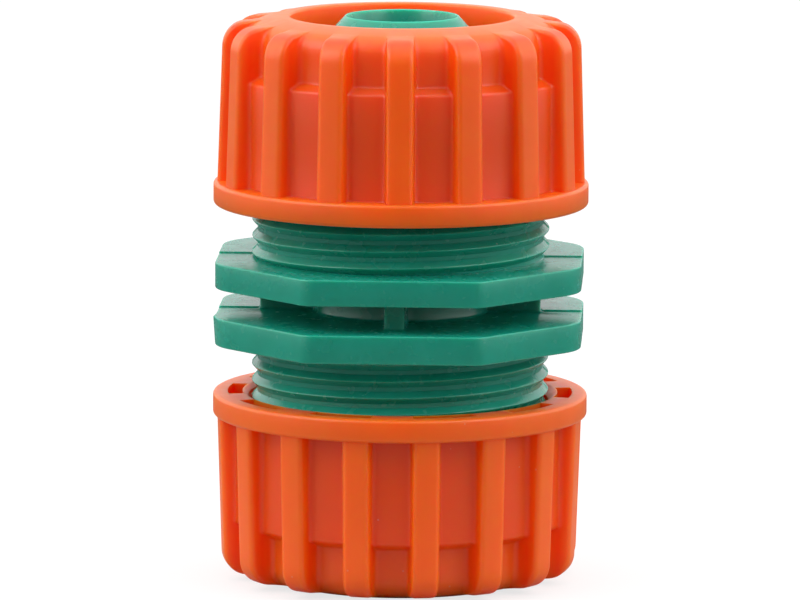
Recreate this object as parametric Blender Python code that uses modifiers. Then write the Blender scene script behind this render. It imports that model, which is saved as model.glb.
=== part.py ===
"""A hose mender for half-inch garden hose, modelled at its real size.

One moulded body carries a barbed nipple, a threaded cup and an octagonal grip flange on each side.
A clamp ring and a screwed nut at each end squeeze the hose onto the nipple. Metres, +Z up.
The origin is on the axis, at the end face of the lower nut. The front is -Y.
"""

import math

import bmesh
import bpy
from mathutils import Matrix

MM = 0.001
MERGE_DISTANCE = 0.000001

# Driving heights, measured outwards from the plane midway between the two flanges
FLANGE_INNER = 1.42 * MM
FLANGE_OUTER = 4.04 * MM
CUP_FLOOR = 5.5 * MM
CUP_LENGTH = 10.2 * MM
NIPPLE_TIP = 27.05 * MM

# Body, across
FLANGE_ACROSS_FLATS = 35.0 * MM
FLANGE_SIDES = 8
FLANGE_CORNER_RADIUS = 4.0 * MM
HUB_RADIUS = 8.4 * MM
HUB_RIB_RADIUS = 13.5 * MM
HUB_RIB_THICKNESS = 2.0 * MM
CUP_BORE_RADIUS = 11.7 * MM
BORE_RADIUS = 4.9 * MM
BORE_MOUTH_RADIUS = 5.3 * MM
BORE_MOUTH_DEPTH = 1.5 * MM
NIPPLE_LIP_RADIUS = 5.42 * MM
NIPPLE_RADIUS = 6.05 * MM
BARB_RADIUS = 6.6 * MM
BARB_COUNT = 4
BARB_PITCH = 4.2 * MM
FIRST_BARB_DEPTH = 1.25 * MM
BARB_BACK = 0.15 * MM
BARB_RAMP = 1.3 * MM

# Screw thread, right-handed at both ends
THREAD_PITCH = 1.6 * MM
THREAD_ROOT_RADIUS = 13.7 * MM
THREAD_DEPTH = 0.6 * MM
THREAD_HALF_WIDTH = 0.6 * MM
THREAD_FRONT_HEIGHT = 0.55 * MM
CUP_END_RADIUS = 13.2 * MM

# Nut, with heights from its open end
NUT_HEIGHT = 18.1 * MM
RIM_RADIUS = 18.0 * MM
RIM_HEIGHT = 2.2 * MM
RIM_CORNER = 0.35 * MM
PANEL_RADIUS = 16.1 * MM
PANEL_TOP = 12.3 * MM
RECESS_RADIUS = 14.9 * MM
RECESS_BOTTOM = 12.9 * MM
SHOULDER_RADIUS = 1.9 * MM
SHOULDER_CENTRE_HEIGHT = 15.85 * MM
END_FACE_RADIUS = 11.9 * MM
OPENING_RADIUS = 10.7 * MM
NUT_BORE_RADIUS = 14.6 * MM
NUT_LEAD_IN = 0.4 * MM
NUT_SEAT_HEIGHT = 10.3 * MM
NUT_SEAT_RADIUS = 12.6 * MM
CONE_TOP = 14.6 * MM
RIB_COUNT = 16
RIB_WIDTH = 2.58 * MM
RIB_ROOT_RADIUS = 12.9 * MM
RIB_LOWER_ROOT_RADIUS = 15.3 * MM
RIB_FOOT_RADIUS = 17.66 * MM
RIB_HEAD_RADIUS = 17.2 * MM
RIB_FOOT_HEIGHT = 1.1 * MM
RIB_HEAD_ROUND = 2.4 * MM
RIB_HEAD_HEIGHT = 15.15 * MM
RIB_HEAD_STEPS = 4
RIB_EDGE_ROUND = 0.45 * MM
POCKET_COUNT = 10
POCKET_INNER = 15.15 * MM
POCKET_OUTER = 16.6 * MM
POCKET_DEPTH = 1.2 * MM
POCKET_ANGLE = math.radians(22)

# How far each nut is backed off, in turns from its open end touching the flange
UPPER_NUT_TURNS = 3.069
LOWER_NUT_TURNS = 3.2826

# Where a rib and a pocket stand on a nut that is screwed home
NUT_RIB_ANGLE = math.radians(-0.34)
POCKET_PHASE = math.radians(6.26)

# Height of the middle plane when the mender stands on its lower nut
MIDDLE_HEIGHT = FLANGE_OUTER + LOWER_NUT_TURNS * THREAD_PITCH + NUT_HEIGHT

# Clamp ring, with heights from the open end of its nut
RING_BOTTOM = 5.4 * MM
RING_TOP = 14.2 * MM
RING_RADIUS = 11.35 * MM
RING_TAPER_HEIGHT = 12.2 * MM
RING_TOP_RADIUS = 10.4 * MM
RING_BORE_RADIUS = 9.8 * MM
TOOTH_RADIUS = 9.3 * MM
TOOTH_COUNT = 2
TOOTH_PITCH = 2.2 * MM
TOOTH_RAMP = 1.0 * MM
FINGER_COUNT = 8
FINGER_SLOT_WIDTH = 0.9 * MM
FINGER_SLOT_DEPTH = 6.2 * MM

# Facets
BODY_STEPS = 32
NUT_STEPS = 32
RING_STEPS = 24
CORNER_STEPS = 3

GREEN = (0.010, 0.235, 0.140, 1.0)
ORANGE = (0.870, 0.114, 0.013, 1.0)
GREY_GREEN = (0.030, 0.200, 0.130, 1.0)

FRONT = -math.pi / 2
HALF_TURN_ABOUT_Y = Matrix.Rotation(math.pi, 4, "Y")


def clear_scene():
    for thing in list(bpy.data.objects):
        bpy.data.objects.remove(thing, do_unlink=True)


def plastic(name, color, roughness):
    material = bpy.data.materials.new(name)
    material.use_nodes = True
    shader = material.node_tree.nodes["Principled BSDF"]
    shader.inputs["Base Color"].default_value = color
    shader.inputs["Roughness"].default_value = roughness
    shader.inputs["Metallic"].default_value = 0.0
    return material


def link(name, data):
    piece = bpy.data.objects.new(name, data)
    bpy.context.scene.collection.objects.link(piece)
    return piece


def freeze(piece):
    """Gives an object the mesh that its curve or modifiers make, with coincident points welded."""
    bpy.context.view_layer.update()
    graph = bpy.context.evaluated_depsgraph_get()
    mesh = bpy.data.meshes.new_from_object(piece.evaluated_get(graph))
    work = bmesh.new()
    work.from_mesh(mesh)
    bmesh.ops.remove_doubles(work, verts=work.verts, dist=MERGE_DISTANCE)
    bmesh.ops.recalc_face_normals(work, faces=work.faces)
    work.to_mesh(mesh)
    work.free()
    solid = link(piece.name, mesh)
    solid.matrix_world = piece.matrix_world.copy()
    bpy.data.objects.remove(piece, do_unlink=True)
    return solid


def combine(base, others, operation):
    """Unites the base with each other solid, or cuts each one from it. The others are used up."""
    for other in others:
        step = base.modifiers.new(other.name, "BOOLEAN")
        step.operation = operation
        step.solver = "EXACT"
        step.object = other
    solid = freeze(base)
    for other in others:
        bpy.data.objects.remove(other, do_unlink=True)
    return solid


def arc(centre, radius, start, end, steps):
    """Points along an arc in the plane, both ends included."""
    angles = [start + (end - start) * step / steps for step in range(steps + 1)]
    return [(centre[0] + radius * math.cos(a), centre[1] + radius * math.sin(a)) for a in angles]


def turned(name, outline, steps):
    """A closed (radius, height) outline turned once round Z. Its outer side runs downwards."""
    mesh = bpy.data.meshes.new(name)
    points = [(radius, 0.0, height) for radius, height in outline]
    edges = [(index, (index + 1) % len(points)) for index in range(len(points))]
    mesh.from_pydata(points, edges, [])
    piece = link(name, mesh)
    screw = piece.modifiers.new("Turn", "SCREW")
    screw.axis = "Z"
    screw.angle = 2 * math.pi
    screw.steps = steps
    screw.render_steps = steps
    screw.use_merge_vertices = True
    screw.merge_threshold = MERGE_DISTANCE
    return freeze(piece)


def plate(name, outlines, thickness):
    """Flat outlines filled and thickened about Z = 0. An outline inside another is a hole."""
    curve = bpy.data.curves.new(name, "CURVE")
    curve.dimensions = "2D"
    curve.fill_mode = "BOTH"
    curve.extrude = thickness / 2
    for outline in outlines:
        spline = curve.splines.new("POLY")
        spline.points.add(len(outline) - 1)
        for point, (x, y) in zip(spline.points, outline):
            point.co = (x, y, 0.0, 1.0)
        spline.use_cyclic_u = True
    return freeze(link(name, curve))


def moved(piece, matrix):
    piece.data.transform(matrix)
    return piece


def copies_round(name, piece, count, phase):
    """One mesh that holds a solid and its copies, evenly spaced round Z."""
    work = bmesh.new()
    for index in range(count):
        turn = Matrix.Rotation(phase + 2 * math.pi * index / count, 4, "Z")
        copy = piece.data.copy()
        copy.transform(turn)
        work.from_mesh(copy)
        bpy.data.meshes.remove(copy)
    mesh = bpy.data.meshes.new(name)
    work.to_mesh(mesh)
    work.free()
    bpy.data.objects.remove(piece, do_unlink=True)
    return link(name, mesh)


def sleeve_radius(height, angle):
    """The threaded wall's radius at a height above the flange, cut back to a cone at its end."""
    crest = THREAD_FRONT_HEIGHT + THREAD_PITCH * (angle - FRONT) / (2 * math.pi)
    from_crest = abs((height - crest + THREAD_PITCH / 2) % THREAD_PITCH - THREAD_PITCH / 2)
    ridge = THREAD_DEPTH * max(0.0, 1 - from_crest / THREAD_HALF_WIDTH)
    return min(THREAD_ROOT_RADIUS + ridge, CUP_END_RADIUS + CUP_LENGTH - height)


def threaded_sleeve():
    """The wall of a cup, from inside its flange to its open end, with the screw thread outside.

    Each column of points climbs the wall over root, crest, root. A column's rows rise with the
    helix, so after one turn they meet the first column's rows one thread higher up.
    """
    bottom = (FLANGE_INNER - FLANGE_OUTER) / 2
    offsets = (-THREAD_HALF_WIDTH, 0.0, THREAD_HALF_WIDTH)
    threads_below = math.ceil((THREAD_FRONT_HEIGHT - bottom) / THREAD_PITCH) + 2
    threads = threads_below + math.ceil(CUP_LENGTH / THREAD_PITCH) + 2
    rows = threads * len(offsets)
    first_crest = THREAD_FRONT_HEIGHT - threads_below * THREAD_PITCH
    work = bmesh.new()
    columns = []
    for index in range(BODY_STEPS):
        angle = FRONT + 2 * math.pi * index / BODY_STEPS
        lift = THREAD_PITCH * index / BODY_STEPS
        column = []
        for row in range(rows):
            thread, place_in_thread = divmod(row, len(offsets))
            height = first_crest + lift + thread * THREAD_PITCH + offsets[place_in_thread]
            height = min(max(height, bottom), CUP_LENGTH)
            radius = sleeve_radius(height, angle)
            column.append((radius * math.cos(angle), radius * math.sin(angle), height))
        for height in (CUP_LENGTH, bottom):
            column.append((CUP_BORE_RADIUS * math.cos(angle), CUP_BORE_RADIUS * math.sin(angle), height))
        columns.append([work.verts.new(point) for point in column])
    for index, column in enumerate(columns):
        at_seam = index == BODY_STEPS - 1
        following = columns[(index + 1) % BODY_STEPS]
        shift = len(offsets) if at_seam else 0
        for row in range(rows - 1):
            near, far = min(row + shift, rows - 1), min(row + shift + 1, rows - 1)
            if near < far:
                work.faces.new((column[row], following[near], following[far], column[row + 1]))
            else:
                work.faces.new((column[row], following[near], column[row + 1]))
        inner_top, inner_bottom = rows, rows + 1
        work.faces.new((column[rows - 1], following[rows - 1], following[inner_top], column[inner_top]))
        work.faces.new(
            (column[inner_top], following[inner_top], following[inner_bottom], column[inner_bottom])
        )
        work.faces.new((column[inner_bottom], following[inner_bottom], following[0], column[0]))
    bmesh.ops.remove_doubles(work, verts=work.verts, dist=MERGE_DISTANCE)
    bmesh.ops.recalc_face_normals(work, faces=work.faces)
    mesh = bpy.data.meshes.new("sleeve")
    work.to_mesh(mesh)
    work.free()
    return link("sleeve", mesh)


def nipple_outline():
    """From the bore at the tip, over the lip and down the barbs, to the last barb's foot."""
    outline = [
        (BORE_RADIUS, NIPPLE_TIP - BORE_MOUTH_DEPTH),
        (BORE_MOUTH_RADIUS, NIPPLE_TIP),
        (NIPPLE_LIP_RADIUS, NIPPLE_TIP),
    ]
    for index in range(BARB_COUNT):
        crest = NIPPLE_TIP - FIRST_BARB_DEPTH - index * BARB_PITCH
        if index > 0:
            outline.append((NIPPLE_RADIUS, crest + BARB_RAMP))
        outline.append((BARB_RADIUS, crest))
        outline.append((NIPPLE_RADIUS, crest - BARB_BACK))
    return outline


def body_outline():
    """The section of the turned core: hub, cup floors and nipples, the lower half a mirror."""
    inside_flange = FLANGE_INNER + (FLANGE_OUTER - FLANGE_INNER) / 3
    inside_sleeve = (CUP_BORE_RADIUS + CUP_END_RADIUS) / 2
    upper = nipple_outline() + [
        (NIPPLE_RADIUS, CUP_FLOOR),
        (inside_sleeve, CUP_FLOOR),
        (inside_sleeve, inside_flange),
        (HUB_RADIUS, inside_flange),
    ]
    lower = [(radius, -height) for radius, height in reversed(upper)]
    return upper + lower


def octagon_outline():
    """A regular octagon with rounded corners and a flat towards the front."""
    corner_distance = FLANGE_ACROSS_FLATS / 2 / math.cos(math.pi / FLANGE_SIDES)
    inset = FLANGE_CORNER_RADIUS / math.cos(math.pi / FLANGE_SIDES)
    outline = []
    for index in range(FLANGE_SIDES):
        direction = math.pi / FLANGE_SIDES + 2 * math.pi * index / FLANGE_SIDES
        distance = corner_distance - inset
        centre = (distance * math.cos(direction), distance * math.sin(direction))
        half_turn = math.pi / FLANGE_SIDES
        outline += arc(
            centre, FLANGE_CORNER_RADIUS, direction - half_turn, direction + half_turn, CORNER_STEPS
        )
    return outline


def make_body():
    core = turned("core", body_outline(), BODY_STEPS)
    inside_hub = (BORE_RADIUS + HUB_RADIUS) / 2
    hole = arc((0, 0), inside_hub, 0, 2 * math.pi, BODY_STEPS)[:-1]
    thickness = FLANGE_OUTER - FLANGE_INNER
    flange_height = (FLANGE_OUTER + FLANGE_INNER) / 2
    additions = []
    for name, height in (("upper_flange", flange_height), ("lower_flange", -flange_height)):
        flange = plate(name, [octagon_outline(), hole], thickness)
        additions.append(moved(flange, Matrix.Translation((0, 0, height))))
    rib_length = HUB_RIB_RADIUS - inside_hub
    bpy.ops.mesh.primitive_cube_add(size=1, location=(0, 0, 0))
    rib = bpy.context.object
    rib.name = "hub_rib"
    moved(rib, Matrix.Diagonal((rib_length, HUB_RIB_THICKNESS, 2 * flange_height, 1)))
    moved(rib, Matrix.Translation((inside_hub + rib_length / 2, 0, 0)))
    additions.append(copies_round("hub_ribs", rib, 4, 0.0))
    for end in (Matrix.Identity(4), HALF_TURN_ABOUT_Y):
        sleeve = moved(threaded_sleeve(), Matrix.Translation((0, 0, FLANGE_OUTER)))
        additions.append(moved(sleeve, end))
    return combine(core, additions, "UNION")


def nut_outline():
    """The section of the nut without its ribs, from the end face down the outside and up the bore."""
    rim_centre = RIM_RADIUS - RIM_CORNER
    shoulder_centre = (RECESS_RADIUS - SHOULDER_RADIUS, SHOULDER_CENTRE_HEIGHT)
    shoulder = arc(shoulder_centre, SHOULDER_RADIUS, math.radians(80), 0, 3)
    lower_corner = arc((rim_centre, RIM_CORNER), RIM_CORNER, 0, -math.pi / 2, 2)
    return (
        [(OPENING_RADIUS, NUT_HEIGHT), (END_FACE_RADIUS, NUT_HEIGHT)]
        + shoulder
        + [
            (RECESS_RADIUS, RECESS_BOTTOM),
            (PANEL_RADIUS, PANEL_TOP),
            (PANEL_RADIUS, RIM_HEIGHT),
            (RIM_RADIUS, RIM_HEIGHT),
        ]
        + lower_corner
        + [
            (NUT_BORE_RADIUS + NUT_LEAD_IN, 0.0),
            (NUT_BORE_RADIUS, NUT_LEAD_IN),
            (NUT_BORE_RADIUS, NUT_SEAT_HEIGHT),
            (NUT_SEAT_RADIUS, NUT_SEAT_HEIGHT),
            (OPENING_RADIUS, CONE_TOP),
        ]
    )


def nut_ribs():
    """All the grip ribs: flat fins that round over into the end face, with softened outer edges."""
    head_centre = (RIB_HEAD_RADIUS - RIB_HEAD_ROUND, RIB_HEAD_HEIGHT)
    outline = [
        (RIB_LOWER_ROOT_RADIUS, RIB_FOOT_HEIGHT),
        (RIB_FOOT_RADIUS, RIB_FOOT_HEIGHT),
        *arc(head_centre, RIB_HEAD_ROUND, 0, math.pi / 2, RIB_HEAD_STEPS),
        (RIB_ROOT_RADIUS, RIB_HEAD_HEIGHT + RIB_HEAD_ROUND),
        (RIB_ROOT_RADIUS, RECESS_BOTTOM),
        (RIB_LOWER_ROOT_RADIUS, NUT_SEAT_HEIGHT),
    ]
    rib = plate("rib", [outline], RIB_WIDTH)
    weights = rib.data.attributes.new("bevel_weight_edge", "FLOAT", "EDGE")
    for edge in rib.data.edges:
        start, end = (rib.data.vertices[index].co for index in edge.vertices)
        along_a_side = abs(start.z - end.z) < MERGE_DISTANCE
        outside = min(start.x, end.x) > head_centre[0] - MERGE_DISTANCE
        weights.data[edge.index].value = 1.0 if along_a_side and outside else 0.0
    edge_round = rib.modifiers.new("Softened edges", "BEVEL")
    edge_round.width = RIB_EDGE_ROUND
    edge_round.segments = 1
    edge_round.limit_method = "WEIGHT"
    rib = freeze(rib)
    moved(rib, Matrix.Rotation(math.pi / 2, 4, "X"))
    return copies_round("ribs", rib, RIB_COUNT, NUT_RIB_ANGLE)


def rim_pockets():
    """Cutters for the shallow hollows in the open end face, between the rim and the thread sleeve."""
    half = POCKET_ANGLE / 2
    outer = arc((0, 0), POCKET_OUTER, -half, half, CORNER_STEPS)
    inner = arc((0, 0), POCKET_INNER, half, -half, CORNER_STEPS)
    pocket = plate("pocket", [outer + inner], 2 * POCKET_DEPTH)
    return copies_round("pockets", pocket, POCKET_COUNT, POCKET_PHASE)


def make_nut():
    """The nut as it stands when fully screwed home, its open end on the flange."""
    nut = turned("nut", nut_outline(), NUT_STEPS)
    nut = combine(nut, [nut_ribs()], "UNION")
    return combine(nut, [rim_pockets()], "DIFFERENCE")


def ring_outline():
    """The clamp ring's section: a cylinder and a cone outside, gripping teeth inside."""
    outline = [
        (RING_BORE_RADIUS, RING_TOP),
        (RING_TOP_RADIUS, RING_TOP),
        (RING_RADIUS, RING_TAPER_HEIGHT),
        (RING_RADIUS, RING_BOTTOM),
        (RING_BORE_RADIUS, RING_BOTTOM),
    ]
    first_tooth = RING_TOP - TOOTH_COUNT * TOOTH_PITCH
    for index in range(TOOTH_COUNT):
        crest = first_tooth + index * TOOTH_PITCH
        outline.append((RING_BORE_RADIUS, crest - BARB_BACK))
        outline.append((TOOTH_RADIUS, crest))
        outline.append((RING_BORE_RADIUS, crest + TOOTH_RAMP))
    return outline


def make_clamp_ring():
    ring = turned("clamp_ring", ring_outline(), RING_STEPS)
    bpy.ops.mesh.primitive_cube_add(size=1, location=(0, 0, 0))
    slot = bpy.context.object
    slot.name = "slot"
    reach = RING_RADIUS - TOOTH_RADIUS
    moved(slot, Matrix.Diagonal((2 * reach, FINGER_SLOT_WIDTH, 2 * FINGER_SLOT_DEPTH, 1)))
    moved(slot, Matrix.Translation((TOOTH_RADIUS + reach / 2, 0, RING_TOP)))
    slots = copies_round("slots", slot, FINGER_COUNT, math.pi / FINGER_COUNT)
    return combine(ring, [slots], "DIFFERENCE")


def add_end(name, turned_over):
    """An empty at the middle of the body, whose +Z points out along one end."""
    end = link(name, None)
    end.location = (0, 0, MIDDLE_HEIGHT)
    end.rotation_euler = (0, math.pi if turned_over else 0.0, 0)
    return end


def place(name, mesh, material, parent, height=0.0, turn=0.0):
    piece = link(name, mesh)
    piece.parent = parent
    piece.location = (0, 0, height)
    piece.rotation_euler = (0, 0, turn)
    mesh.materials.clear()
    mesh.materials.append(material)
    mesh.shade_smooth()
    mesh.set_sharp_from_angle(angle=math.radians(35))
    return piece


def take_mesh(piece):
    mesh = piece.data
    bpy.data.objects.remove(piece, do_unlink=True)
    return mesh


def main():
    clear_scene()
    green = plastic("green_plastic", GREEN, 0.35)
    orange = plastic("orange_plastic", ORANGE, 0.4)
    ring_plastic = plastic("clamp_ring_plastic", GREY_GREEN, 0.5)
    body_mesh = take_mesh(make_body())
    nut_mesh = take_mesh(make_nut())
    ring_mesh = take_mesh(make_clamp_ring())
    upper_end = add_end("upper_end", False)
    lower_end = add_end("lower_end", True)
    pieces = [upper_end, lower_end, place("body", body_mesh, green, upper_end)]
    ends = (("upper", upper_end, UPPER_NUT_TURNS), ("lower", lower_end, LOWER_NUT_TURNS))
    for side, end, turns in ends:
        height = FLANGE_OUTER + turns * THREAD_PITCH
        turn = 2 * math.pi * turns
        pieces.append(place(side + "_nut", nut_mesh, orange, end, height, turn))
        pieces.append(place(side + "_clamp_ring", ring_mesh, ring_plastic, end, height))
    collection = bpy.data.collections.new("hose_mender")
    bpy.context.scene.collection.children.link(collection)
    for piece in pieces:
        collection.objects.link(piece)
        bpy.context.scene.collection.objects.unlink(piece)


main()
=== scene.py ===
import math

import bmesh
import bpy
from mathutils import Matrix, Vector


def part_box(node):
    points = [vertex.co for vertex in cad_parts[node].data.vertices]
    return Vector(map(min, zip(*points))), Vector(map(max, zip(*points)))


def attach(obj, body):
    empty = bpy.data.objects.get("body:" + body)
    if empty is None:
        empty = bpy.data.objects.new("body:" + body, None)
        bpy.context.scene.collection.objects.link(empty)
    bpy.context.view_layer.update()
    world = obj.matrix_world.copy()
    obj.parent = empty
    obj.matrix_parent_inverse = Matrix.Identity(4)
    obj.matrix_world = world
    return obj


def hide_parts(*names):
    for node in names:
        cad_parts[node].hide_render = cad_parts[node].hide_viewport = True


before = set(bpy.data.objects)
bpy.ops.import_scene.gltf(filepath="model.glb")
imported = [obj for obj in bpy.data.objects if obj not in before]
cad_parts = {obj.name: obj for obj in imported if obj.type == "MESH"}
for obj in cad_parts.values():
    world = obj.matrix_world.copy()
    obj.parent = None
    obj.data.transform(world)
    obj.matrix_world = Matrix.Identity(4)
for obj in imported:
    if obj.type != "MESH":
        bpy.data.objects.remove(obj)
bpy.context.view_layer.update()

MM = 0.001
WELD_DISTANCE = 0.002 * MM
CORNER_ROOM = 0.45
FRONT = -math.pi / 2
QUARTER = math.pi / 2

# Body, heights measured outwards from the plane midway between the flanges
FLANGE_INNER = 1.38 * MM
FLANGE_OUTER = 4.04 * MM
FLANGE_EDGE_ROUND = 0.15 * MM
UPPER_FLANGE_THINNER = 0.14 * MM
LOWER_FLANGE_THICKER = 0.06 * MM

# A flange's flats from the front round to the side, and the corners between them
FLAT_ANGLES = (0.0, math.radians(47), math.radians(90))
FLAT_DISTANCES = (17.25 * MM, 17.84 * MM, 17.5 * MM)
FLANGE_CORNER_RADII = (1.7 * MM, 5.6 * MM)

# Hub, cups and nipples
HUB_RADIUS = 8.4 * MM
HUB_RIB_RADIUS = 13.5 * MM
HUB_RIB_THICKNESS = 2.0 * MM
HUB_FILLET = 0.25 * MM
HUB_CORNER_SHARPNESS = 24
CUP_FLOOR = 5.5 * MM
CUP_LENGTH = 10.2 * MM
CUP_BORE_RADIUS = 11.7 * MM
CUP_END_RADIUS = 13.2 * MM
NIPPLE_TIP = 27.05 * MM
NIPPLE_LIP_RADIUS = 5.42 * MM
NIPPLE_RADIUS = 6.05 * MM
NIPPLE_EDGE_ROUND = 0.12 * MM
BARB_RADIUS = 6.6 * MM
BARB_COUNT = 4
BARB_PITCH = 4.2 * MM
FIRST_BARB_DEPTH = 1.25 * MM
BARB_BACK = 0.15 * MM
BARB_RAMP = 1.3 * MM
BORE_RADIUS = 4.9 * MM
BORE_MOUTH_RADIUS = 5.3 * MM
BORE_MOUTH_DEPTH = 1.5 * MM

# Marks of the body's mould, angles in degrees from the front: a higher back half, and a nub of flash
MOULD_STEP = 0.13 * MM
MOULD_PARTINGS = (90, 270)
PARTING_HALF_WIDTH = 0.1
NUB_PLACE = Vector((-17.5, -4.6, -1.75)) * MM
NUB_HEIGHT = 0.4 * MM
NUB_REACH = 0.55 * MM

# Screw thread, right-handed at both ends
THREAD_PITCH = 1.6 * MM
THREAD_ROOT_RADIUS = 13.7 * MM
THREAD_DEPTH = 0.6 * MM
THREAD_HALF_WIDTH = 0.6 * MM
THREAD_CREST_ROUND = 0.07 * MM
THREAD_FRONT_HEIGHT = 0.55 * MM
THREAD_ROW_SHARES = (-1.0, -0.86, -0.5, -0.17, -0.08, 0.0, 0.08, 0.17, 0.5, 0.86, 1.0)

# Nut, heights from its open end
RIM_RADIUS = 18.0 * MM
RIM_HEIGHT = 2.2 * MM
RIM_CORNER = 0.35 * MM
PANEL_RADIUS = 16.1 * MM
PANEL_TOP = 12.3 * MM
RECESS_RADIUS = 14.9 * MM
RECESS_BOTTOM = 12.9 * MM
SHOULDER_RADIUS = 1.9 * MM
SHOULDER_CENTRE_HEIGHT = 15.85 * MM
SHOULDER_START = math.radians(78)
LEDGE_ROUND = 0.22 * MM
END_FACE_RADIUS = 11.9 * MM
OPENING_RADIUS = 10.7 * MM
OPENING_EDGE_ROUND = 0.25 * MM
NUT_HEIGHT = 18.1 * MM
NUT_BORE_RADIUS = 14.6 * MM
NUT_LEAD_IN = 0.4 * MM
NUT_MOUTH_ROUND = 0.12 * MM
NUT_SEAT_HEIGHT = 10.3 * MM
NUT_SEAT_RADIUS = 12.6 * MM
CONE_TOP = 14.6 * MM
RIB_COUNT = 16
RIB_WIDTH = 2.58 * MM
RIB_FOOT_RADIUS = 17.66 * MM
RIB_FOOT_HEIGHT = 1.1 * MM
RIB_HEAD_RADIUS = 17.2 * MM
RIB_HEAD_ROUND = 2.4 * MM
RIB_HEAD_HEIGHT = 15.15 * MM
BELOW_RIB_HEAD = 0.4 * MM
RIB_HEAD_EDGE_ROUND = 0.9 * MM
RIB_EDGE_ROUND = 0.42 * MM
RIB_ROOT_ROUND = 0.45 * MM
LARGEST_EDGE_SHARE, LARGEST_ROOT_SHARE = 0.68, 0.3
POCKET_COUNT = 10
POCKET_INNER = 15.15 * MM
POCKET_OUTER = 16.6 * MM
POCKET_DEPTH = 1.2 * MM
POCKET_ANGLE = math.radians(22)

# Where a rib and a pocket stand on a nut that is screwed home
NUT_RIB_ANGLE = math.radians(-0.34)
POCKET_PHASE = math.radians(6.26)

# Clamp ring, heights from the open end of its nut
RING_BOTTOM = 5.4 * MM
RING_TOP = 14.2 * MM
RING_RADIUS = 11.35 * MM
RING_TAPER_HEIGHT = 12.2 * MM
RING_TOP_RADIUS = 10.4 * MM
RING_BORE_RADIUS = 9.8 * MM
RING_EDGE_ROUND = 0.15 * MM
TOOTH_RADIUS = 9.3 * MM
TOOTH_COUNT = 2
TOOTH_PITCH = 2.2 * MM
TOOTH_RAMP = 1.0 * MM
TOOTH_BACK = 0.15 * MM
FINGER_COUNT = 8
FINGER_SLOT_WIDTH = 0.9 * MM
FINGER_SLOT_DEPTH = 6.2 * MM

# Plastics: two tones, roughness, and how far red, green and blue light scatter
ORANGE_TONE, ORANGE_PALER = (0.900, 0.126, 0.001, 1.0), (0.925, 0.140, 0.002, 1.0)
ORANGE_ROUGHNESS = 0.36
ORANGE_SCATTER = (3.2 * MM, 1.2 * MM, 0.1 * MM)
GREEN_TONE, GREEN_PALER = (0.010, 0.300, 0.208, 1.0), (0.013, 0.334, 0.234, 1.0)
GREEN_ROUGHNESS = 0.25
GREEN_SCATTER = (0.1 * MM, 1.2 * MM, 0.9 * MM)
RING_TONE, RING_PALER = (0.028, 0.190, 0.122, 1.0), (0.034, 0.215, 0.140, 1.0)
RING_ROUGHNESS = 0.5
RING_SCATTER = (0.1 * MM, 0.4 * MM, 0.3 * MM)
RING_SCATTER_WEIGHT = 0.05

# Painted shade: the nut's panels between the ribs get a deeper red, fading out towards the ribs' crowns
# and the closed end beyond these radii
PAINTED_SHADE_ORANGE_TONE = (0.900, 0.078, 0.001, 1.0)
UNSHADED_RIB_RADIUS = 16.9 * MM
UNSHADED_TOP_RADIUS = 14.2 * MM

# The plastics' cloudiness, dust and relief, scales in features to a metre
CLOUD_SCALE, GRAIN_SCALE, SWELL_SCALE, SPECK_SCALE = 260, 5200, 700, 300
CLOUD_START, CLOUD_END = 0.3, 0.75
SPECK_CORE, SPECK_EDGE, SPECK_STRENGTH = 0.02, 0.035, 0.2
SPECK_TONE = (0.75, 0.72, 0.68, 1.0)
GRAIN_SHARE = 0.35
RELIEF_STRENGTH = 0.35
RELIEF_HEIGHT = 0.02 * MM
SMOOTHER, ROUGHER = 0.05, 0.07
SHARP_ANGLE = math.radians(32)

# The camera stands where the photograph was taken from
CAMERA_DISTANCE = 750 * MM
CAMERA_ELEVATION = math.radians(8.55)
CAMERA_AZIMUTH = math.radians(2.5)
CAMERA_ROLL = math.radians(0.33)
CAMERA_LENS = 350.9
CAMERA_SENSOR = 36.0
AIM_BELOW_MIDDLE = 0.48 * MM
AIM_LEFT = 0.04 * MM

# The studio's brightness seen along each axis, and the softboxes' power in watts
LIGHT_RIGHT, LIGHT_BACK, LIGHT_TOP = 1.8, 1.05, 1.3
LIGHT_LEFT, LIGHT_FRONT, LIGHT_BELOW = 1.9, 0.0, 0.0
LEFT_SOFTBOX, RIGHT_SOFTBOX, TOP_SOFTBOX = 0.46, 0.37, 0.08
LEFT_SOFTBOX_PLACE, RIGHT_SOFTBOX_PLACE = (-0.28, -0.16, 0.30), (0.28, -0.16, 0.30)
TOP_SOFTBOX_PLACE = (0.0, 0.0, 0.45)
SIDE_SOFTBOX_SIZE, TOP_SOFTBOX_SIZE = 0.25, 0.30

# The floor's tone near the object and further off, as light, and its tone and glow for the camera
FLOOR_NEAR, FLOOR_FAR, FLOOR_WHITE = 0.38, 0.10, 0.95
FLOOR_NEAR_RADIUS, FLOOR_FAR_RADIUS = 40 * MM, 90 * MM
FLOOR_GLOW = 0.75
FLOOR_ROUGHNESS = 0.9
FLOOR_SIZE = 6.0
FLOOR_BELOW = 0.03 * MM

body_low, body_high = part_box("body")
MIDDLE_HEIGHT = (body_low.z + body_high.z) / 2


def arc(centre, radius, start, end, steps):
    """Points along an arc in the plane, both ends included."""
    angles = [start + (end - start) * step / steps for step in range(steps + 1)]
    return [(centre[0] + radius * math.cos(a), centre[1] + radius * math.sin(a)) for a in angles]


def mix(start, end, share):
    return start + (end - start) * share


def along(points, share):
    """The point at a share of a polyline's length."""
    lengths = [math.dist(a, b) for a, b in zip(points, points[1:])]
    left = share * sum(lengths)
    for (start, end), length in zip(zip(points, points[1:]), lengths):
        if left <= length or end is points[-1]:
            part = min(left / length, 1.0)
            return (mix(start[0], end[0], part), mix(start[1], end[1], part))
        left -= length


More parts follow.
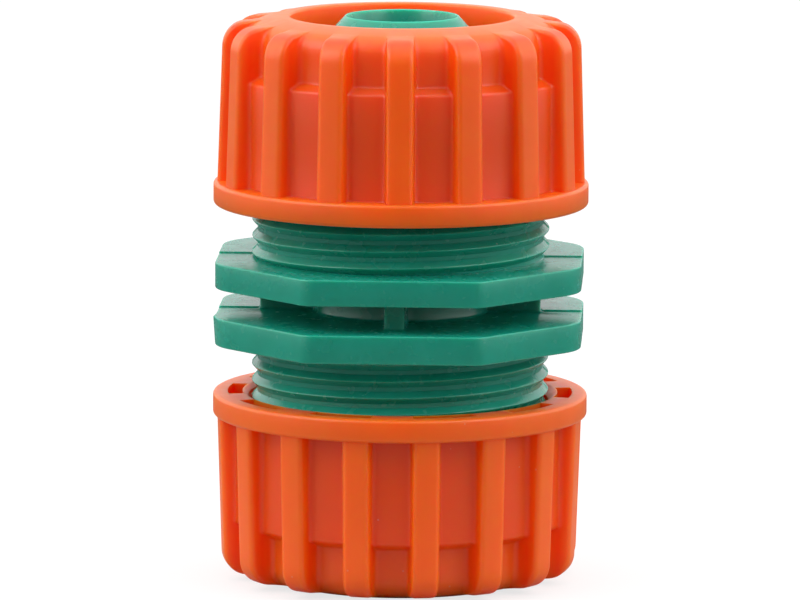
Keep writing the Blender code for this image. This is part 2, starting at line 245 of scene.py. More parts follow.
def rounded(points, radius, steps):
    """An open polyline with each inner corner rounded, over CORNER_ROOM of each side at most."""
    result = [points[0]]
    for before, corner, after in zip(points, points[1:], points[2:]):
        near = Vector(before) - Vector(corner)
        far = Vector(after) - Vector(corner)
        reach = min(radius, near.length * CORNER_ROOM, far.length * CORNER_ROOM)
        start = Vector(corner) + near.normalized() * reach
        end = Vector(corner) + far.normalized() * reach
        for step in range(steps + 1):
            share = step / steps
            curve = start.lerp(Vector(corner), share).lerp(Vector(corner).lerp(end, share), share)
            result.append(tuple(curve))
    result.append(points[-1])
    return result


def round_z(radius, angle, height):
    return (radius * math.cos(angle), radius * math.sin(angle), height)


def solid(name, patches):
    """One closed mesh from patches, each a grid of points [column][row] that closes round Z.

    A patch's last column meets its first one seam_shift rows higher up, as a screw thread does.
    """
    points = []
    faces = []
    for grid, seam_shift in patches:
        first = len(points)
        rows = len(grid[0])
        for column in grid:
            points.extend(column)
        for index in range(len(grid)):
            following = (index + 1) % len(grid)
            shift = seam_shift if following == 0 else 0
            here = first + index * rows
            there = first + following * rows
            for row in range(rows - 1):
                near = min(row + shift, rows - 1)
                far = min(row + shift + 1, rows - 1)
                corners = [here + row, there + near, there + far, here + row + 1]
                if near == far:
                    corners.remove(there + far)
                faces.append(corners)
    mesh = bpy.data.meshes.new(name)
    mesh.from_pydata(points, [], faces)
    work = bmesh.new()
    work.from_mesh(mesh)
    bmesh.ops.remove_doubles(work, verts=work.verts, dist=WELD_DISTANCE)
    bmesh.ops.recalc_face_normals(work, faces=work.faces)
    work.to_mesh(mesh)
    work.free()
    return mesh


def crest_height(angle):
    """A crest's height over the flange's outer face. One turn further round, it is a pitch higher."""
    return THREAD_FRONT_HEIGHT + THREAD_PITCH * (angle - FRONT) / (2 * math.pi)


def ridge(height, crest):
    """How far a thread stands out at a height, with a rounded crest and softened roots."""
    from_crest = abs((height - crest + THREAD_PITCH / 2) % THREAD_PITCH - THREAD_PITCH / 2)
    slope = THREAD_DEPTH / THREAD_HALF_WIDTH
    rounded_distance = math.hypot(from_crest, THREAD_CREST_ROUND) - THREAD_CREST_ROUND / 2
    linear = THREAD_DEPTH - slope * rounded_distance
    softness = THREAD_CREST_ROUND / 2
    return (linear + math.hypot(linear, softness)) / 2


def threaded_patch(angles, radius_at, crest_at, bottom, top):
    """A wall whose rows rise with the thread, cut off level at the bottom and the top."""
    offsets = [share * THREAD_HALF_WIDTH for share in THREAD_ROW_SHARES]
    threads_below = math.ceil((crest_at(angles[0]) - bottom) / THREAD_PITCH) + 2
    threads = threads_below + math.ceil((top - bottom) / THREAD_PITCH) + 3
    columns = []
    for angle in angles:
        column = []
        first_crest = crest_at(angle) - threads_below * THREAD_PITCH
        for thread in range(threads):
            for offset in offsets:
                height = min(max(first_crest + thread * THREAD_PITCH + offset, bottom), top)
                column.append(round_z(radius_at(height, angle), angle, height))
        columns.append(column)
    return columns, len(offsets)


def lathe_patch(angles, rows):
    """A wall through rings. A ring is a (radius, height), or a (function of the angle, height)."""
    columns = []
    for angle in angles:
        column = []
        for radius, height in rows:
            wide = radius(angle) if callable(radius) else radius
            column.append(round_z(wide, angle, height))
        columns.append(column)
    return columns, 0


def flange_radius(inset):
    """A function of the angle: the distance to a flange's rounded outline, drawn in by an inset."""
    distances = [distance - inset for distance in FLAT_DISTANCES]
    corners = []
    for index, full_radius in enumerate(FLANGE_CORNER_RADII):
        radius = full_radius - inset
        first, second = FLAT_ANGLES[index:index + 2]
        near = distances[index] - radius
        far = distances[index + 1] - radius
        across = (far - near * math.cos(second - first)) / math.sin(second - first)
        centre = Matrix.Rotation(first, 2) @ Vector((near, across))
        arc_start = centre + Matrix.Rotation(first, 2) @ Vector((radius, 0.0))
        arc_end = centre + Matrix.Rotation(second, 2) @ Vector((radius, 0.0))
        ends = [math.atan2(point.y, point.x) for point in (arc_start, arc_end)]
        corners.append((centre, radius, ends))

    def distance(angle):
        turned = abs((angle - FRONT + QUARTER) % math.pi - QUARTER)
        ray = Vector((math.cos(turned), math.sin(turned)))
        for index, (centre, radius, ends) in enumerate(corners):
            if turned < ends[0]:
                return distances[index] / math.cos(turned - FLAT_ANGLES[index])
            if turned <= ends[1]:
                ahead = ray.dot(centre)
                return ahead + math.sqrt(radius**2 - centre.length_squared + ahead**2)
        return distances[-1] / math.cos(turned - FLAT_ANGLES[-1])

    return distance


def hub_radius(growth):
    """A function of the angle: the distance to the outline of the hub and its cross of ribs."""
    sharpness = HUB_CORNER_SHARPNESS
    smallest_sine = 0.01

    def distance(angle):
        off_rib = abs((angle + QUARTER / 2) % QUARTER - QUARTER / 2)
        side = (HUB_RIB_THICKNESS / 2 + growth) / max(math.sin(off_rib), smallest_sine)
        tip = HUB_RIB_RADIUS + growth
        hub = HUB_RADIUS + growth
        rib = tip * ((side / tip) ** -sharpness + 1) ** (-1 / sharpness)
        return hub * ((rib / hub) ** sharpness + 1) ** (1 / sharpness)

    return distance


def body_angles():
    """Columns for the body, closest at the hub's ribs, the flanges' corners and the mould's parting."""
    beside_rib = [1.6, 3.0, 3.8, 4.15, 4.4, 4.8, 5.4, 6.1, 6.7, 7.3, 9.3, 12.5]
    front_corner = [23.2, 24.2, 25.2, 26.2, 27.2, 28.2]
    end_corner = [60.5, 62, 63.5, 65, 66.5, 68, 69.5, 71, 72.5, 74]
    quarter = beside_rib + [15.5, 18.5, 21.5] + front_corner + [31, 34.5, 38, 41.5, 45, 48.5, 52, 55, 58]
    quarter += end_corner + [90 - angle for angle in reversed(beside_rib)]
    half = [0] + quarter + [90] + [180 - angle for angle in reversed(quarter)]
    degrees = half + [180 + angle for angle in half]
    for parting in MOULD_PARTINGS:
        place = degrees.index(parting)
        degrees[place:place + 1] = [parting - PARTING_HALF_WIDTH, parting + PARTING_HALF_WIDTH]
    return [FRONT + math.radians(angle) for angle in degrees]


def sleeve_radius(height, angle):
    """The threaded wall's radius at a height over the flange, cut back to a cone at its end."""
    wall = THREAD_ROOT_RADIUS + ridge(height, crest_height(angle))
    return min(wall, CUP_END_RADIUS + CUP_LENGTH - height)


def nipple_profile():
    """From the bore's mouth over the lip and down the barbs to the cup's floor."""
    outline = [
        (BORE_RADIUS, NIPPLE_TIP - BORE_MOUTH_DEPTH),
        (BORE_MOUTH_RADIUS, NIPPLE_TIP - NIPPLE_EDGE_ROUND),
        (BORE_MOUTH_RADIUS + NIPPLE_EDGE_ROUND / 2, NIPPLE_TIP),
        (NIPPLE_LIP_RADIUS, NIPPLE_TIP),
    ]
    for index in range(BARB_COUNT):
        crest = NIPPLE_TIP - FIRST_BARB_DEPTH - index * BARB_PITCH
        if index > 0:
            outline.append((NIPPLE_RADIUS, crest + BARB_RAMP))
        outline.append((BARB_RADIUS, crest))
        outline.append((NIPPLE_RADIUS, crest - BARB_BACK))
    outline.append((NIPPLE_RADIUS, CUP_FLOOR))
    outline.append((CUP_BORE_RADIUS, CUP_FLOOR))
    cup_end = FLANGE_OUTER + CUP_LENGTH
    outline.append((CUP_BORE_RADIUS, cup_end))
    outline.append((CUP_END_RADIUS, cup_end))
    return rounded(outline, NIPPLE_EDGE_ROUND, 3)


def flange_rows(thicker):
    """Rings from the thread's foot, round the flange's edge and in to the hub, down to the middle."""
    edge = FLANGE_EDGE_ROUND
    rows = [(lambda angle: sleeve_radius(thicker, angle), FLANGE_OUTER + thicker)]
    for corner_height, start, end in (
        (FLANGE_OUTER + thicker - edge, QUARTER, 0.0),
        (FLANGE_INNER + edge, 0.0, -QUARTER),
    ):
        for sideways, height in arc((0.0, corner_height), edge, start, end, 4):
            rows.append((flange_radius(edge - sideways), height))
    fillet_centre = (HUB_FILLET, FLANGE_INNER - HUB_FILLET)
    for off_wall, height in arc(fillet_centre, HUB_FILLET, QUARTER, 2 * QUARTER, 3):
        rows.append((hub_radius(off_wall), height))
    rows.append((hub_radius(0.0), 0.0))
    return rows


def with_mould_marks(point):
    """A point of the moulded outside, with the mould's mismatch and the nub of flash added."""
    fade = min((FLANGE_OUTER + CUP_LENGTH - abs(point.z)) / CUP_LENGTH, 1.0)
    if point.y > 0:
        point.z += MOULD_STEP * fade
    from_nub = (point - NUB_PLACE).length / NUB_REACH
    point.x -= NUB_HEIGHT * math.exp(-(from_nub**2))
    return point


def body_mesh():
    """The whole body round its own middle. Its lower half is the upper one turned over."""
    angles = body_angles()
    inside = lathe_patch(angles, [(BORE_RADIUS, 0.0)] + nipple_profile())
    patches = []
    for half, thicker in (
        (Matrix.Identity(3), -UPPER_FLANGE_THINNER),
        (Matrix.Rotation(math.pi, 3, "Y"), LOWER_FLANGE_THICKER),
    ):
        flange = lathe_patch(angles, flange_rows(thicker))
        thread = threaded_patch(angles, sleeve_radius, crest_height, thicker, CUP_LENGTH)
        for (grid, seam_shift), lift in ((inside, 0.0), (flange, 0.0), (thread, FLANGE_OUTER)):
            placed = [[half @ Vector((x, y, z + lift)) for x, y, z in column] for column in grid]
            if grid is not inside[0]:
                placed = [[with_mould_marks(point) for point in column] for column in placed]
            patches.append((placed, seam_shift))
    return solid("body_skin", patches)


def rib_columns():
    """Columns for one rib and the panel after it, as (side, part of the section, share of that part)."""
    half = [("face", share) for share in (0.0, 0.5, 0.85)]
    half += [("edge", share) for share in (0.0, 0.25, 0.5, 0.75, 1.0)]
    half += [("wall", 0.5)]
    half += [("root", share) for share in (0.0, 0.33, 0.67, 1.0)]
    half += [("panel", share) for share in (0.22, 0.5, 0.78)]
    after = [(1, part, share) for part, share in half]
    before = [(-1, part, share) for part, share in reversed(half[1:])]
    return after + [(1, "panel", 1.0)] + before


def across_rib(part, share, height, edge):
    """Offset from the rib's middle plane, share of the rib's height, and share of the panel."""
    half = RIB_WIDTH / 2
    edge_share = min(edge / height, LARGEST_EDGE_SHARE)
    root_share = min(RIB_ROOT_ROUND / height, LARGEST_ROOT_SHARE)
    root = root_share * height
    turn = share * QUARTER
    if part == "face":
        return share * (half - edge), 1.0, 0.0
    if part == "edge":
        return half - edge + edge * math.sin(turn), 1 - edge_share * (1 - math.cos(turn)), 0.0
    if part == "wall":
        return half, mix(1 - edge_share, root_share, share), 0.0
    if part == "root":
        return half + root * (1 - math.cos(turn)), root_share * (1 - math.sin(turn)), 0.0
    return half + root, 0.0, share


def nut_column_angles():
    """Where the columns stand on a plain ring of the nut, spread a little over the ribs' side walls."""
    spread = 0.35 * MM
    ring = 17.0 * MM
    full_height = RIB_FOOT_RADIUS - PANEL_RADIUS
    angles = []
    for rib in range(RIB_COUNT):
        middle = NUT_RIB_ANGLE + 2 * math.pi * rib / RIB_COUNT
        for side, part, share in rib_columns():
            offset, height_share, panel_share = across_rib(part, share, full_height, RIB_EDGE_ROUND)
            start = math.asin((offset + spread * (1 - height_share)) / ring)
            after = mix(start, math.pi / RIB_COUNT, panel_share)
            angles.append(middle + (after if side > 0 else 2 * math.pi / RIB_COUNT - after))
    return angles


def ribbed_patch(rows):
    """The ribbed outside of the nut. A row is (point on the panel, point on the rib, edge's rounding)."""
    columns = []
    smallest_height = 0.001 * MM
    for rib in range(RIB_COUNT):
        middle = NUT_RIB_ANGLE + 2 * math.pi * rib / RIB_COUNT
        for side, part, share in rib_columns():
            column = []
            for panel, crown, edge in rows:
                height = max(math.dist(panel, crown), smallest_height)
                offset, height_share, panel_share = across_rib(part, share, height, edge)
                radius = mix(panel[0], crown[0], height_share)
                level = mix(panel[1], crown[1], height_share)
                after = mix(math.asin(offset / radius), math.pi / RIB_COUNT, panel_share)
                angle = middle + (after if side > 0 else 2 * math.pi / RIB_COUNT - after)
                column.append(round_z(radius, angle, level))
            columns.append(column)
    return columns, 0


def shoulder_arc(start, end):
    centre = (RECESS_RADIUS - SHOULDER_RADIUS, SHOULDER_CENTRE_HEIGHT)
    return arc(centre, SHOULDER_RADIUS, start, end, 6)


def ribbed_rows():
    """Rows down the outside of the nut: a point on the panel, one on the rib, and its edge's rounding."""
    shoulder = shoulder_arc(SHOULDER_START, 0.0)
    panel_line = shoulder + [(RECESS_RADIUS, RIB_HEAD_HEIGHT)]
    head_centre = (RIB_HEAD_RADIUS - RIB_HEAD_ROUND, RIB_HEAD_HEIGHT)
    head_line = [shoulder[0]] + arc(head_centre, RIB_HEAD_ROUND, SHOULDER_START, 0.0, 10)
    head_rows = 20
    rows = []
    for row in range(head_rows + 1):
        share = row / head_rows
        edge = mix(RIB_HEAD_EDGE_ROUND, RIB_EDGE_ROUND, min(share * 2, 1.0))
        rows.append((along(panel_line, share), along(head_line, share), edge))
    straight = [
        (RECESS_RADIUS, RIB_HEAD_HEIGHT - BELOW_RIB_HEAD),
        (RECESS_RADIUS, RECESS_BOTTOM),
        (PANEL_RADIUS, PANEL_TOP),
        (PANEL_RADIUS, (PANEL_TOP + RIM_HEIGHT) / 2),
        (PANEL_RADIUS, RIM_HEIGHT),
        (PANEL_RADIUS + LEDGE_ROUND * 2, RIM_HEIGHT),
    ]
    for radius, height in rounded(straight, LEDGE_ROUND, 3)[:-1]:
        share = (RIB_HEAD_HEIGHT - height) / (RIB_HEAD_HEIGHT - RIB_FOOT_HEIGHT)
        crown_radius = mix(RIB_HEAD_RADIUS, RIB_FOOT_RADIUS, share)
        rows.append(((radius, height), (crown_radius, height), RIB_EDGE_ROUND))
    return rows


def nut_crest_height(angle):
    """The nut's own thread runs midway between the crests of the body's thread."""
    return crest_height(angle) + THREAD_PITCH / 2


def nut_bore_radius(height, angle):
    """The wall of the nut's threaded bore at a height over its open end."""
    stands = ridge(height, nut_crest_height(angle))
    stands = min(stands, max(height - NUT_LEAD_IN, 0.0), max(NUT_SEAT_HEIGHT - height, 0.0))
    return NUT_BORE_RADIUS - stands


def nut_mesh():
    """The nut in its own frame: its open end at Z = 0 and its closed end above."""
    angles = nut_column_angles()
    edge = OPENING_EDGE_ROUND
    end_face = [
        (NUT_BORE_RADIUS, NUT_SEAT_HEIGHT),
        (NUT_SEAT_RADIUS, NUT_SEAT_HEIGHT),
        (OPENING_RADIUS, CONE_TOP),
        (OPENING_RADIUS, NUT_HEIGHT - edge),
    ]
    end_face += arc((OPENING_RADIUS + edge, NUT_HEIGHT - edge), edge, math.pi, QUARTER, 4)[1:]
    end_face.append((END_FACE_RADIUS, NUT_HEIGHT))
    rim_centre = RIM_RADIUS - RIM_CORNER
    rim = arc((rim_centre, RIM_HEIGHT - RIM_CORNER), RIM_CORNER, QUARTER, 0.0, 5)
    rim += arc((rim_centre, RIM_CORNER), RIM_CORNER, 0.0, -QUARTER, 5)
    mouth = [
        rim[-1],
        (NUT_BORE_RADIUS + NUT_LEAD_IN, 0.0),
        (NUT_BORE_RADIUS, NUT_LEAD_IN),
    ]
    mouth = rounded(mouth, NUT_MOUTH_ROUND, 3)[1:]
    grids = (
        lathe_patch(angles, end_face)[0],
        ribbed_patch(ribbed_rows())[0],
        lathe_patch(angles, rim + mouth)[0],
    )
    outside = [top + middle + bottom for top, middle, bottom in zip(*grids)]
    thread = threaded_patch(angles, nut_bore_radius, nut_crest_height, NUT_LEAD_IN, NUT_SEAT_HEIGHT)
    return solid("nut_skin", [(outside, 0), thread])


def ring_mesh():
    """The clamp ring in its nut's frame, before its slots are cut."""
    outline = [
        (RING_RADIUS, (RING_BOTTOM + RING_TAPER_HEIGHT) / 2),
        (RING_RADIUS, RING_BOTTOM),
        (RING_BORE_RADIUS, RING_BOTTOM),
    ]
    first_tooth = RING_TOP - TOOTH_COUNT * TOOTH_PITCH
    for index in range(TOOTH_COUNT):
        crest = first_tooth + index * TOOTH_PITCH
        outline.append((RING_BORE_RADIUS, crest - TOOTH_BACK))
        outline.append((TOOTH_RADIUS, crest))
        outline.append((RING_BORE_RADIUS, crest + TOOTH_RAMP))
    outline += [
        (RING_BORE_RADIUS, RING_TOP),
        (RING_TOP_RADIUS, RING_TOP),
        (RING_RADIUS, RING_TAPER_HEIGHT),
        (RING_RADIUS, (RING_BOTTOM + RING_TAPER_HEIGHT) / 2),
    ]
    columns = 96
    angles = [2 * math.pi * index / columns for index in range(columns)]
    return solid("ring_skin", [lathe_patch(angles, rounded(outline, RING_EDGE_ROUND, 3))])


def wedge_cutters(name, count, phase, half_angle, inner, outer, bottom, top):
    """Blocks evenly spaced round Z, bounded by two radii, two heights and an angle, as one mesh."""
    steps = 6
    work = bmesh.new()
    for index in range(count):
        middle = phase + 2 * math.pi * index / count
        outline = arc((0, 0), outer, middle - half_angle, middle + half_angle, steps)
        outline += arc((0, 0), inner, middle + half_angle, middle - half_angle, steps)
        floor = work.faces.new([work.verts.new((x, y, bottom)) for x, y in outline])
        raised = bmesh.ops.extrude_face_region(work, geom=[floor])["geom"]
        lifted = [item for item in raised if isinstance(item, bmesh.types.BMVert)]
        bmesh.ops.translate(work, verts=lifted, vec=(0, 0, top - bottom))
    bmesh.ops.recalc_face_normals(work, faces=work.faces)
    mesh = bpy.data.meshes.new(name)
    work.to_mesh(mesh)
    work.free()
    return mesh


def cut(mesh, cutter_mesh):
    """The mesh with the cutter's solids taken out of it."""
    base = bpy.data.objects.new("base", mesh)
    cutter = bpy.data.objects.new("cutter", cutter_mesh)
    for piece in (base, cutter):
        bpy.context.scene.collection.objects.link(piece)
    step = base.modifiers.new("Cut", "BOOLEAN")
    step.operation = "DIFFERENCE"
    step.solver = "EXACT"
    step.object = cutter
    bpy.context.view_layer.update()
    graph = bpy.context.evaluated_depsgraph_get()
    result = bpy.data.meshes.new_from_object(base.evaluated_get(graph))
    for piece in (base, cutter):
        bpy.data.objects.remove(piece, do_unlink=True)
    return result


def node_tree(name):
    material = bpy.data.materials.new(name)
    material.use_nodes = True
    nodes = material.node_tree.nodes
    return material, nodes, material.node_tree.links, nodes["Principled BSDF"]


def noise(nodes, links, place, scale, detail):
    texture = nodes.new("ShaderNodeTexNoise")
    texture.inputs["Scale"].default_value = scale
    texture.inputs["Detail"].default_value = detail
    links.new(place.outputs["Object"], texture.inputs["Vector"])
    return texture.outputs["Fac"]


def mapped(nodes, links, value, start, end, low=0.0, high=1.0):
    """A value mapped from start and end to low and high, and held there beyond them."""
    span = nodes.new("ShaderNodeMapRange")
    settings = (("From Min", start), ("From Max", end), ("To Min", low), ("To Max", high))
    for socket, setting in settings:
        span.inputs[socket].default_value = setting
    links.new(value, span.inputs["Value"])
    return span.outputs["Result"]


def blended(nodes, links, factor, tone, other_tone):
    """A colour socket that goes over to a fixed tone by a factor."""
    blend = nodes.new("ShaderNodeMix")
    blend.data_type = "RGBA"
    blend.inputs["B"].default_value = other_tone
    links.new(factor, blend.inputs["Factor"])
    links.new(tone, blend.inputs["A"])
    return blend.outputs["Result"]


def painted_shade_share(nodes, links, place):
    """Where shade is painted: 1 on the panels between the nut's ribs, falling to 0 towards the ribs'
    crowns and the closed end.
    """
    flat = nodes.new("ShaderNodeVectorMath")
    flat.operation = "MULTIPLY"
    flat.inputs[1].default_value = (1.0, 1.0, 0.0)
    links.new(place.outputs["Object"], flat.inputs[0])
    away = nodes.new("ShaderNodeVectorMath")
    away.operation = "LENGTH"
    links.new(flat.outputs["Vector"], away.inputs[0])
    share = nodes.new("ShaderNodeMath")
    share.operation = "MINIMUM"
    for index, unshaded_radius in enumerate((UNSHADED_RIB_RADIUS, UNSHADED_TOP_RADIUS)):
        side = mapped(nodes, links, away.outputs["Value"], unshaded_radius, PANEL_RADIUS)
        links.new(side, share.inputs[index])
    return share.outputs["Value"]


def moulded_plastic(name, tones, roughness, scatter, scatter_weight=1.0, painted_shade_tone=None):
    """Injection-moulded plastic: a faint cloudiness, a fine grain, a little scatter and a few specks, and
    with a shade tone, painted shade on the panels between the nut's ribs.
    """
    material, nodes, links, shader = node_tree(name)
    place = nodes.new("ShaderNodeTexCoord")
    ramp = nodes.new("ShaderNodeValToRGB")
    for element, position, tone in zip(ramp.color_ramp.elements, (CLOUD_START, CLOUD_END), tones):
        element.position = position
        element.color = tone
    links.new(noise(nodes, links, place, CLOUD_SCALE, 4), ramp.inputs["Fac"])
    colour = ramp.outputs["Color"]
    # Painted shade: the panels between the nut's ribs go over to a deeper red
    if painted_shade_tone:
        colour = blended(nodes, links, painted_shade_share(nodes, links, place), colour, painted_shade_tone)
    specks = nodes.new("ShaderNodeTexVoronoi")
    specks.inputs["Scale"].default_value = SPECK_SCALE
    links.new(place.outputs["Object"], specks.inputs["Vector"])
    distance = specks.outputs["Distance"]
    dust = mapped(nodes, links, distance, SPECK_EDGE, SPECK_CORE, 0.0, SPECK_STRENGTH)
    links.new(blended(nodes, links, dust, colour, SPECK_TONE), shader.inputs["Base Color"])
    grain = noise(nodes, links, place, GRAIN_SCALE, 3)
    swell = noise(nodes, links, place, SWELL_SCALE, 2)
    relief = nodes.new("ShaderNodeMath")
    relief.operation = "MULTIPLY_ADD"
    relief.inputs[1].default_value = GRAIN_SHARE
    links.new(grain, relief.inputs[0])
    links.new(swell, relief.inputs[2])
    bump = nodes.new("ShaderNodeBump")
    bump.inputs["Strength"].default_value = RELIEF_STRENGTH
    bump.inputs["Distance"].default_value = RELIEF_HEIGHT
    links.new(relief.outputs["Value"], bump.inputs["Height"])
    links.new(bump.outputs["Normal"], shader.inputs["Normal"])
    gloss = mapped(nodes, links, swell, 0.0, 1.0, roughness - SMOOTHER, roughness + ROUGHER)
    links.new(gloss, shader.inputs["Roughness"])
    shader.inputs["Metallic"].default_value = 0.0
    shader.inputs["IOR"].default_value = 1.5
    shader.inputs["Subsurface Weight"].default_value = scatter_weight
    shader.inputs["Subsurface Radius"].default_value = scatter
    shader.inputs["Subsurface Scale"].default_value = 1.0
    return material


def add_piece(name, shape, material, matrix, node):
    """A visible piece that stands for a CAD node and rides on that node's body."""
    mesh = shape.copy()
    mesh.transform(matrix)
    piece = bpy.data.objects.new(name, mesh)
    bpy.context.scene.collection.objects.link(piece)
    mesh.materials.clear()
    mesh.materials.append(material)
    mesh.shade_smooth()
    mesh.set_sharp_from_angle(angle=SHARP_ANGLE)
    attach(piece, node)
    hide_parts(node)
    return piece


def build_pieces():
    orange = moulded_plastic(
        "orange_plastic",
        (ORANGE_TONE, ORANGE_PALER),
        ORANGE_ROUGHNESS,
        ORANGE_SCATTER,
        # Painted shade on the panels between the nut's ribs
        painted_shade_tone=PAINTED_SHADE_ORANGE_TONE,
    )
    green = moulded_plastic("green_plastic", (GREEN_TONE, GREEN_PALER), GREEN_ROUGHNESS, GREEN_SCATTER)
    ring_green = moulded_plastic(
        "clamp_ring_plastic",
        (RING_TONE, RING_PALER),
        RING_ROUGHNESS,
        RING_SCATTER,
        RING_SCATTER_WEIGHT,
    )
    pockets = wedge_cutters(
        "pockets", POCKET_COUNT, POCKET_PHASE, POCKET_ANGLE / 2,
        POCKET_INNER, POCKET_OUTER, -POCKET_DEPTH, POCKET_DEPTH,
    )
    nut = cut(nut_mesh(), pockets)
    slot_half_angle = FINGER_SLOT_WIDTH / 2 / RING_BORE_RADIUS
    slots = wedge_cutters(
        "slots", FINGER_COUNT, math.pi / FINGER_COUNT, slot_half_angle,
        TOOTH_RADIUS - MM, RING_RADIUS + MM, RING_TOP - FINGER_SLOT_DEPTH, RING_TOP + MM,
    )
    ring = cut(ring_mesh(), slots)
    middle = Matrix.Translation((0, 0, MIDDLE_HEIGHT))
    add_piece("body_skin", body_mesh(), green, middle, "body")
    upper_open_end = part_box("upper_nut")[0].z - MIDDLE_HEIGHT
    lower_open_end = MIDDLE_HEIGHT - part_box("lower_nut")[1].z
    ends = (
        ("upper", middle, upper_open_end),
        ("lower", middle @ Matrix.Rotation(math.pi, 4, "Y"), lower_open_end),
    )
    for side, end, open_end in ends:
        lifted = end @ Matrix.Translation((0, 0, open_end))
        turns = (open_end - FLANGE_OUTER) / THREAD_PITCH
        turned = lifted @ Matrix.Rotation(2 * math.pi * turns, 4, "Z")
        add_piece(side + "_nut_skin", nut, orange, turned, side + "_nut")
        ring_node = side + "_clamp_ring"
        add_piece(ring_node + "_skin", ring, ring_green, lifted, ring_node)


def build_stage():
    """A large pale floor. The camera sees it nearly white, with the object's shadow left on it."""
    work = bmesh.new()
    bmesh.ops.create_grid(work, x_segments=2, y_segments=2, size=FLOOR_SIZE / 2)
    mesh = bpy.data.meshes.new("floor")
    work.to_mesh(mesh)
    work.free()
    floor = bpy.data.objects.new("floor", mesh)
    floor.location = (0, 0, -FLOOR_BELOW)
    bpy.context.scene.collection.objects.link(floor)
    material, nodes, links, shader = node_tree("floor_paper")
    shader.inputs["Roughness"].default_value = FLOOR_ROUGHNESS
    glow = nodes.new("ShaderNodeEmission")
    glow.inputs["Color"].default_value = (1.0, 1.0, 1.0, 1.0)
    glow.inputs["Strength"].default_value = 1.0
    seen = nodes.new("ShaderNodeLightPath").outputs["Is Camera Ray"]
    share = mapped(nodes, links, seen, 0.0, 1.0, 0.0, FLOOR_GLOW)
    place = nodes.new("ShaderNodeTexCoord")
    away = nodes.new("ShaderNodeVectorMath")
    away.operation = "LENGTH"
    links.new(place.outputs["Object"], away.inputs[0])
    fade = mapped(
        nodes, links, away.outputs["Value"], FLOOR_NEAR_RADIUS, FLOOR_FAR_RADIUS, FLOOR_NEAR, FLOOR_FAR
    )
    tone = nodes.new("ShaderNodeMix")
    tone.data_type = "FLOAT"
    tone.inputs["B"].default_value = FLOOR_WHITE
    links.new(seen, tone.inputs["Factor"])
    links.new(fade, tone.inputs["A"])
    links.new(tone.outputs["Result"], shader.inputs["Base Color"])
    blend = nodes.new("ShaderNodeMixShader")
    links.new(share, blend.inputs["Fac"])
    links.new(shader.outputs["BSDF"], blend.inputs[1])
    links.new(glow.outputs["Emission"], blend.inputs[2])
    links.new(blend.outputs["Shader"], nodes["Material Output"].inputs["Surface"])
    mesh.materials.append(material)


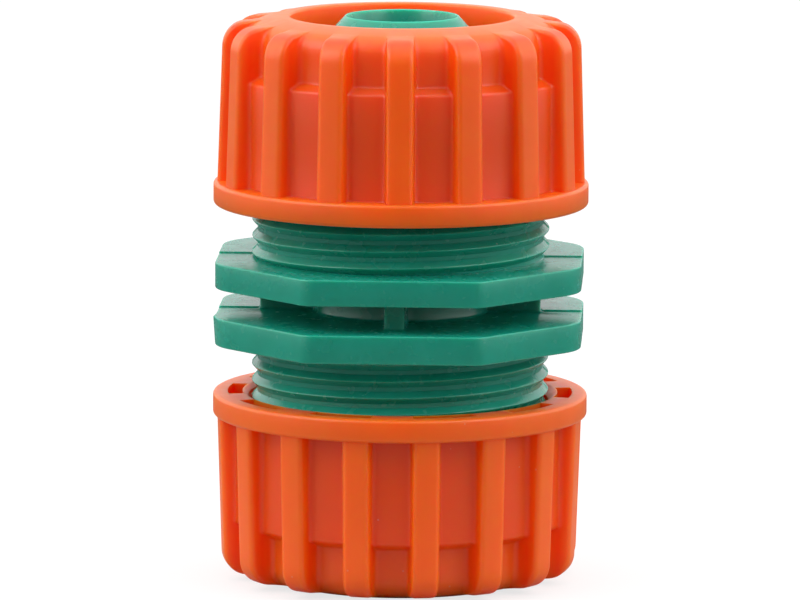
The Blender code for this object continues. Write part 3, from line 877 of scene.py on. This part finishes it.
def build_world():
    """White for the camera. As light it is a cube of six soft sides, each as bright as is stated."""
    world = bpy.data.worlds.new("studio")
    bpy.context.scene.world = world
    world.use_nodes = True
    nodes = world.node_tree.nodes
    links = world.node_tree.links
    background = nodes["Background"]
    place = nodes.new("ShaderNodeTexCoord")
    direction = place.outputs["Generated"]
    side = nodes.new("ShaderNodeVectorMath")
    side.operation = "SIGN"
    links.new(direction, side.inputs[0])
    ahead = nodes.new("ShaderNodeVectorMath")
    ahead.operation = "MULTIPLY_ADD"
    ahead.inputs[1].default_value = (0.5, 0.5, 0.5)
    ahead.inputs[2].default_value = (0.5, 0.5, 0.5)
    links.new(side.outputs["Vector"], ahead.inputs[0])
    sides = nodes.new("ShaderNodeMix")
    sides.data_type = "VECTOR"
    sides.factor_mode = "NON_UNIFORM"
    factor, low_side, high_side = [socket for socket in sides.inputs if socket.type == "VECTOR"]
    mixed = next(socket for socket in sides.outputs if socket.type == "VECTOR")
    low_side.default_value = (LIGHT_LEFT, LIGHT_FRONT, LIGHT_BELOW)
    high_side.default_value = (LIGHT_RIGHT, LIGHT_BACK, LIGHT_TOP)
    links.new(ahead.outputs["Vector"], factor)
    squares = nodes.new("ShaderNodeVectorMath")
    squares.operation = "MULTIPLY"
    links.new(direction, squares.inputs[0])
    links.new(direction, squares.inputs[1])
    light = nodes.new("ShaderNodeVectorMath")
    light.operation = "DOT_PRODUCT"
    links.new(mixed, light.inputs[0])
    links.new(squares.outputs["Vector"], light.inputs[1])
    path = nodes.new("ShaderNodeLightPath")
    seen = nodes.new("ShaderNodeMix")
    seen.data_type = "FLOAT"
    seen.inputs["B"].default_value = 1.0
    links.new(path.outputs["Is Camera Ray"], seen.inputs["Factor"])
    links.new(light.outputs["Value"], seen.inputs["A"])
    background.inputs["Color"].default_value = (1.0, 1.0, 1.0, 1.0)
    links.new(seen.outputs["Result"], background.inputs["Strength"])


def add_softbox(name, location, size, power):
    """A square soft light that points at the middle of the object."""
    light = bpy.data.lights.new(name, "AREA")
    light.shape = "SQUARE"
    light.size = size
    light.energy = power
    lamp = bpy.data.objects.new(name, light)
    lamp.location = location
    aim = Vector((0, 0, MIDDLE_HEIGHT)) - lamp.location
    lamp.rotation_mode = "QUATERNION"
    lamp.rotation_quaternion = aim.to_track_quat("-Z", "Y")
    bpy.context.scene.collection.objects.link(lamp)


def build_camera():
    data = bpy.data.cameras.new("photo_camera")
    data.lens = CAMERA_LENS
    data.sensor_width = CAMERA_SENSOR
    data.clip_start = 0.01
    data.clip_end = 20.0
    camera = bpy.data.objects.new("photo_camera", data)
    flat = math.cos(CAMERA_ELEVATION)
    back = Vector(
        (
            math.sin(CAMERA_AZIMUTH) * flat,
            -math.cos(CAMERA_AZIMUTH) * flat,
            math.sin(CAMERA_ELEVATION),
        )
    )
    aim = Vector((-AIM_LEFT, 0, MIDDLE_HEIGHT - AIM_BELOW_MIDDLE))
    camera.location = aim + back * CAMERA_DISTANCE
    camera.rotation_mode = "QUATERNION"
    roll = Matrix.Rotation(CAMERA_ROLL, 3, "Z").to_quaternion()
    camera.rotation_quaternion = (-back).to_track_quat("-Z", "Y") @ roll
    bpy.context.scene.collection.objects.link(camera)
    bpy.context.scene.camera = camera


build_pieces()
build_stage()
build_world()
add_softbox("left_softbox", LEFT_SOFTBOX_PLACE, SIDE_SOFTBOX_SIZE, LEFT_SOFTBOX)
add_softbox("right_softbox", RIGHT_SOFTBOX_PLACE, SIDE_SOFTBOX_SIZE, RIGHT_SOFTBOX)
add_softbox("top_softbox", TOP_SOFTBOX_PLACE, TOP_SOFTBOX_SIZE, TOP_SOFTBOX)
build_camera()
bpy.context.scene.view_settings.view_transform = "Standard"
